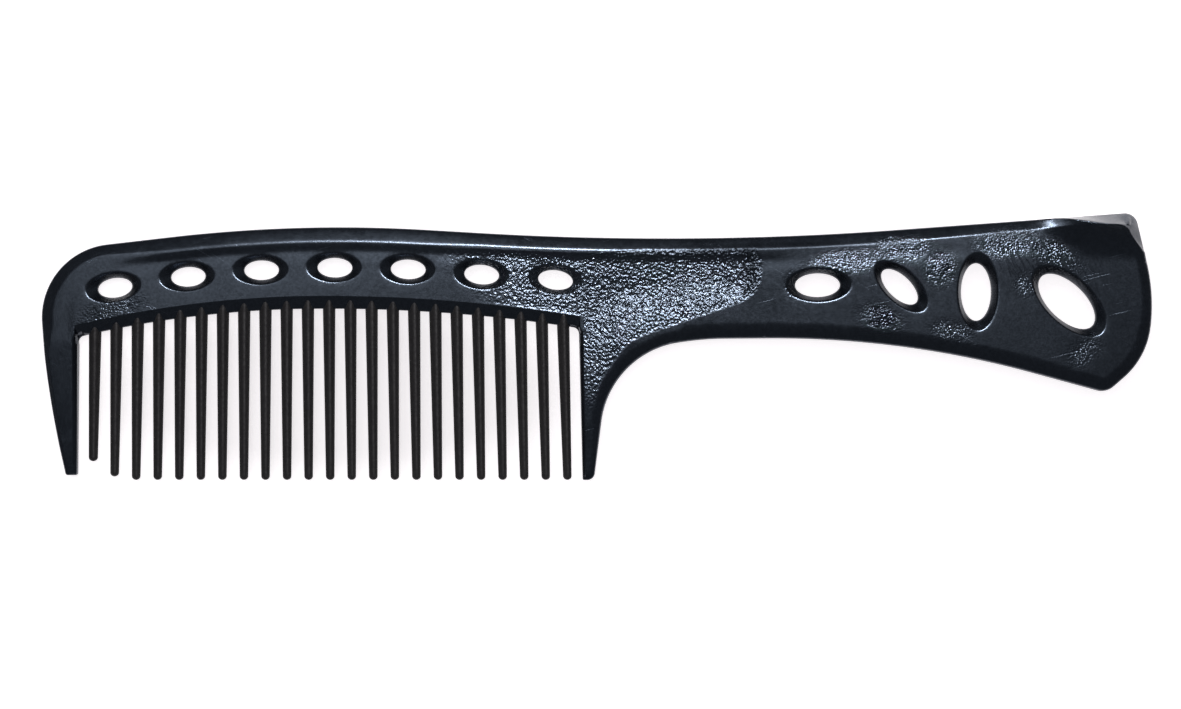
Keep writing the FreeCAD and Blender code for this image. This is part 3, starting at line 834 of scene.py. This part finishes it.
class Shader:
    """One material, with short ways to add nodes to it. Places in it are in millimetres."""

    def __init__(self, name):
        self.material = bpy.data.materials.new(name)
        self.material.use_nodes = True
        self.tree = self.material.node_tree
        self.surface = self.tree.nodes["Principled BSDF"]
        metres = self.add("TexCoord").outputs["Object"]
        self.spot = self.add("VectorMath", {0: metres, "Scale": 1 / MM}, operation="SCALE").outputs[0]

    def add(self, kind, inputs=None, **settings):
        """A new node with its settings, and a value or a link for each input."""
        node = self.tree.nodes.new("ShaderNode" + kind)
        for key, value in settings.items():
            setattr(node, key, value)
        for key, value in (inputs or {}).items():
            self.feed(node.inputs[key], value)
        return node

    def feed(self, socket, value):
        if isinstance(value, bpy.types.NodeSocket):
            self.tree.links.new(value, socket)
        else:
            socket.default_value = value

    def math(self, operation, first, second=0.0):
        return self.add("Math", {0: first, 1: second}, operation=operation).outputs[0]

    def product(self, *values):
        total = values[0]
        for value in values[1:]:
            total = self.math("MULTIPLY", total, value)
        return total

    def total(self, *values):
        total = values[0]
        for value in values[1:]:
            total = self.math("ADD", total, value)
        return total

    def ramp(self, value, low, high, out_low=0.0, out_high=1.0):
        """An S-curve from one value to another, as the input goes from low to high."""
        inputs = {0: value, 1: low, 2: high, 3: out_low, 4: out_high}
        return self.add("MapRange", inputs, interpolation_type="SMOOTHSTEP").outputs[0]

    def stretched(self, place=(0, 0, 0), turn=0.0, scale=(1, 1, 1)):
        """Coordinates that are 1 at the given distances from a place, turned about Z."""
        inputs = {"Vector": self.spot, "Location": place, "Scale": scale,
                  "Rotation": (0, 0, math.radians(turn))}
        return self.add("Mapping", inputs, vector_type="TEXTURE").outputs[0]

    def reach(self, place, scale, turn=0.0):
        """Distance from a place, 1 on an ellipsoid round it."""
        flat = self.stretched(place, turn, scale)
        return self.add("VectorMath", {0: flat}, operation="LENGTH").outputs["Value"]

    def noise(self, size, detail=2.0, rough=0.5, vector=None, seed=0.0):
        """Smooth random values with grains of the given size in millimetres."""
        inputs = {"Vector": vector or self.spot, "W": seed, "Scale": 1 / size, "Detail": detail,
                  "Roughness": rough}
        return self.add("TexNoise", inputs, noise_dimensions="4D").outputs["Fac"]

    def cells(self, size):
        """Rounded cells of the given size in millimetres: 0 in the middle of each."""
        inputs = {"Vector": self.spot, "Scale": 1 / size}
        return self.add("TexVoronoi", inputs, feature="SMOOTH_F1").outputs["Distance"]

    def patch(self, x, y, half_x, half_y, turn=0.0):
        """An ellipse on the front face: 1 in its middle, 0 outside."""
        return self.ramp(self.reach((x, y, 3.0), (half_x, half_y, 6.0), turn), 1.0, 0.25)

    def scaled(self, value, mark, change):
        """The value, changed by this share where the mark is 1."""
        return self.product(value, self.total(1.0, self.product(mark, change)))

    def centred(self, value):
        return self.math("SUBTRACT", value, 0.5)

    def mark(self, name):
        return self.add("Attribute", attribute_name=name).outputs["Fac"]

    def colour(self, share, dark, light):
        """A mix of two colours."""
        inputs = {"Factor": share, "A": (*dark, 1), "B": (*light, 1)}
        node = self.add("Mix", data_type="RGBA")
        for socket in node.inputs:
            if socket.type == "RGBA" or socket.identifier == "Factor_Float":
                self.feed(socket, inputs[socket.name])
        return next(socket for socket in node.outputs if socket.type == "RGBA")


LEATHER_CELL, LEATHER_DEEP = 0.50, 0.19    # grain of the thumb dish
WORN_CELL, WORN_DEEP = 0.32, 0.115         # grain of the rubbed patches

# Places where handling has rubbed the moulded grain bright: x, y, half sizes, turn.
RUBBED = [
    (50, 17, 12, 4.2, 10), (61, 20, 9, 4.5, 6), (69.5, 15.5, 5, 5.5, 0), (83, 21.3, 10, 5.0, 6),
    (93, 18.5, 9, 5.5, -32), (57.5, 5.5, 7.5, 4.5, -20), (71.5, 3, 6.5, 3.4, -10),
    (98.5, -1.2, 6, 4, 35), (87, 12.5, 4, 4, 0), (39.5, 12.5, 2.5, 4, 0), (-98, 7, 10, 4.5, 20),
]


def rubbed_flecks(shader, streaks):
    """The rubbed patches, broken up by the grain and by the flow streaks."""
    rubbed = shader.patch(*RUBBED[0])
    for patch in RUBBED[1:]:
        rubbed = shader.math("MAXIMUM", rubbed, shader.patch(*patch))
    broken = shader.ramp(shader.noise(2.0, 4.0, 0.65, seed=7.0), 0.26, 0.55)
    return shader.product(rubbed, broken, shader.math("SUBTRACT", 1.0, streaks))


def scratches(shader):
    """Long scratches in two directions."""
    scuffs = []
    for turn, seed in ((14.0, 11.0), (-31.0, 13.0)):
        lines = shader.noise(1.0, 1.0, 0.4, shader.stretched(turn=turn, scale=(14.0, 0.11, 1.0)), seed)
        here = shader.ramp(shader.noise(13.0, 1.0, seed=seed + 1), 0.5, 0.62)
        scuffs.append(shader.product(shader.ramp(lines, 0.70, 0.76), here))
    return shader.total(*scuffs)


def flow_streaks(shader):
    """Streaks that the plastic's flow left beside the lip."""
    streaks = shader.noise(1.0, 2.0, 0.5, shader.stretched(turn=-62.0, scale=(5.0, 0.6, 1.0)), 17.0)
    return shader.product(shader.ramp(streaks, 0.50, 0.60), shader.patch(91, 16, 17, 10, -15))


class PlasticLook:
    """The layers of the black plastic, and how each changes relief, roughness, gloss and colour."""

    def __init__(self, shader):
        self.shader = shader
        self.coarse = shader.mark("coarse")
        self.flare = shader.mark("flare")
        self.rounded = shader.mark("rounded")
        self.fine = shader.centred(shader.noise(0.16, 3.0, 0.6))
        self.mottle = shader.noise(1.1, 3.0, 0.55, seed=3.0)
        self.cloud = shader.noise(9.0, 2.0, 0.5, seed=5.0)
        self.streaks = flow_streaks(shader)
        self.flecks = rubbed_flecks(shader, self.streaks)
        self.scuff = scratches(shader)
        self.bead_end = shader.patch(36, 20.1, 38, 2.2, 2.4)

    def relief(self, grain):
        """Relief in millimetres: fine everywhere, deeper in the coarse grain and where it is rubbed."""
        shader = self.shader
        return shader.total(
            shader.product(self.fine, grain),
            shader.product(shader.centred(self.mottle), 0.012),
            shader.product(shader.cells(LEATHER_CELL), self.coarse, -LEATHER_DEEP),
            shader.product(self.fine, self.coarse, 0.03),
            shader.product(self.flecks, shader.cells(WORN_CELL), -WORN_DEEP),
            shader.product(self.scuff, -0.006),
            shader.product(self.streaks, -0.030),
        )

    def roughness(self, least):
        """Duller along the upper edge, over the spine, the thumb dish and before the lip."""
        shader = self.shader
        rough = shader.total(
            least,
            shader.product(shader.patch(84, 23.8, 16, 4.0, 4.2), 0.08),
            shader.product(self.bead_end, 0.08),
            shader.product(shader.patch(-45, 20.8, 48, 4.0, -2), 0.04),
            shader.product(shader.centred(self.mottle), 0.16),
            shader.product(shader.centred(self.cloud), 0.10),
            shader.product(self.flecks, -0.05),
            shader.product(self.streaks, -0.06),
            shader.product(self.scuff, 0.10),
            shader.product(self.coarse, -0.02),
            shader.product(self.rounded, -0.05),
            shader.product(self.flare, 0.06),
        )
        return shader.math("MAXIMUM", rough, 0.12)

    def gloss(self, low, high):
        """Strength of the reflections: uneven, stronger in the coarse grain, weaker at its end."""
        shader = self.shader
        polish = shader.ramp(shader.noise(0.45, 2.0, 0.6, seed=19.0), 0.36, 0.64, low, high)
        dish_end = shader.patch(31.3, 15.0, 3.2, 7.5, 0)
        for mark, change in ((self.coarse, 0.30), (self.bead_end, -0.80), (dish_end, -0.60)):
            polish = shader.scaled(polish, mark, change)
        return polish

    def paleness(self):
        """Share of the lighter colour: slow clouding, paler scratches and rubbed edges, and painted shade
        that darkens the flared mouths of the holes.
        """
        shader = self.shader
        return shader.total(
            shader.product(self.cloud, 0.5),
            shader.product(self.mottle, 0.3),
            shader.product(self.scuff, 0.5),
            shader.product(shader.math("POWER", self.rounded, 6.0), 0.35),
            # painted shade: darker in the flared mouths of the holes
            shader.product(self.flare, -0.35),
        )


def black_plastic(name, dark, light, grain, roughness, shine, tint):
    """Moulded plastic with fine grain, flow streaks, scratches and rubbed patches."""
    shader = Shader(name)
    look = PlasticLook(shader)
    bump = shader.add("Bump", {"Height": look.relief(grain), "Distance": MM, "Strength": 1.0})
    shader.feed(shader.surface.inputs["Normal"], bump.outputs["Normal"])
    shader.feed(shader.surface.inputs["Roughness"], look.roughness(roughness))
    shader.feed(shader.surface.inputs["Base Color"], shader.colour(look.paleness(), dark, light))
    shader.feed(shader.surface.inputs["Specular IOR Level"], look.gloss(*shine))
    shader.surface.inputs["IOR"].default_value = 1.5
    shader.surface.inputs["Specular Tint"].default_value = (*tint, 1)
    return shader.material


def floor_paper():
    """White background paper: pale, with a faint tooth."""
    shader = Shader("floor_paper")
    fibre = shader.colour(shader.noise(0.8, 3.0), (0.78, 0.75, 0.76), (0.80, 0.77, 0.78))
    shader.feed(shader.surface.inputs["Base Color"], fibre)
    shader.surface.inputs["Roughness"].default_value = 0.9
    shader.surface.inputs["Specular IOR Level"].default_value = 0.1
    shader.surface.inputs["Emission Color"].default_value = (1.0, 0.97, 0.985, 1)
    # painted light: the paper glows brighter beyond the lip, a painted pool of light, and less between the
    # teeth, a painted shadow
    painted_pool_and_shadow = shader.total(
        shader.ramp(shader.reach((98, 62, 0), (50, 46, 100)), 1.0, 0.5, 0.86, 1.75),
        shader.ramp(shader.reach((-54, -9, 0), (58, 20, 100)), 1.0, 0.6, 0.0, -0.17),
    )
    shader.feed(shader.surface.inputs["Emission Strength"], painted_pool_and_shadow)
    return shader.material


# ---- making ------------------------------------------------------------------


def make_comb():
    """The plate in its shares, in blue-black plastic, and the teeth in a duller, warmer black."""
    body = black_plastic("comb_plastic", (0.004, 0.005, 0.0075), (0.009, 0.011, 0.016), 0.010, 0.21,
                         (0.44, 0.63), (0.66, 0.79, 1.0))
    tooth = black_plastic("tooth_plastic", (0.025, 0.0235, 0.025), (0.038, 0.036, 0.038), 0.008, 0.52,
                          (0.10, 0.20), (1.0, 0.97, 1.0))
    plate = Plate()
    for name in sorted(set(plate.owner)):
        plate.piece(name, body)
    for number in range(1, TOOTH_COUNT + 1):
        finish_piece(f"tooth_{number:02d}", tooth_mesh(number), tooth)


FLOOR_HALF = 1500.0
FLOOR_SLOPE = 0.01742    # the comb lies on the front of its head and on its lip


def make_floor():
    """The table, touched by the back of the head and by the back of the lip."""
    verts = []
    for across, along in ((-1, -1), (1, -1), (1, 1), (-1, 1)):
        x, y = across * FLOOR_HALF, along * FLOOR_HALF
        verts.append((x * MM, y * MM, (-HALF - FLOOR_SLOPE * (x + 100)) * MM))
    mesh = bpy.data.meshes.new("floor_sheet")
    mesh.from_pydata(verts, [], [(0, 1, 2, 3)])
    mesh.materials.append(floor_paper())
    floor = bpy.data.objects.new("floor", mesh)
    bpy.context.scene.collection.objects.link(floor)


def aim(thing, place, target):
    """Put a light in its place, looking at its target."""
    thing.location = Vector(place) * MM
    thing.rotation_euler = (Vector(target) - Vector(place)).to_track_quat("-Z", "Y").to_euler()


def make_light(name, place, target, wide, high, watts):
    """A rectangular light of the given size in millimetres."""
    lamp = bpy.data.lights.new(name, "AREA")
    lamp.shape = "RECTANGLE"
    lamp.size = wide * MM
    lamp.size_y = high * MM
    lamp.energy = watts
    thing = bpy.data.objects.new(name, lamp)
    bpy.context.scene.collection.objects.link(thing)
    aim(thing, place, target)
    return thing


def make_lights():
    """Soft light from above, and a long narrow light that only makes highlights."""
    world = bpy.data.worlds.new("studio")
    world.use_nodes = True
    background = world.node_tree.nodes["Background"]
    background.inputs["Color"].default_value = (0.95, 0.97, 1.0, 1)
    background.inputs["Strength"].default_value = 0.17
    bpy.context.scene.world = world
    make_light("key", (-110, 185, 420), (-60, 20, 0), 350, 340, 0.62)
    make_light("fill", (135, 100, 420), (60, 10, 0), 230, 220, 0.075)
    glint = make_light("glint", (25, 205, 400), (10, 10, 0), 230, 40, 4.4)
    glint.visible_diffuse = False


def make_camera():
    """Square to the front face, far enough for the comb to fill the picture's width."""
    lens = bpy.data.cameras.new("camera")
    lens.sensor_width = 36.0
    lens.lens = 60.05
    camera = bpy.data.objects.new("camera", lens)
    bpy.context.scene.collection.objects.link(camera)
    camera.location = Vector((-1.28, -1.64, 400.0)) * MM
    bpy.context.scene.camera = camera
    bpy.context.scene.view_settings.view_transform = "Standard"


make_comb()
make_floor()
make_camera()
make_lights()
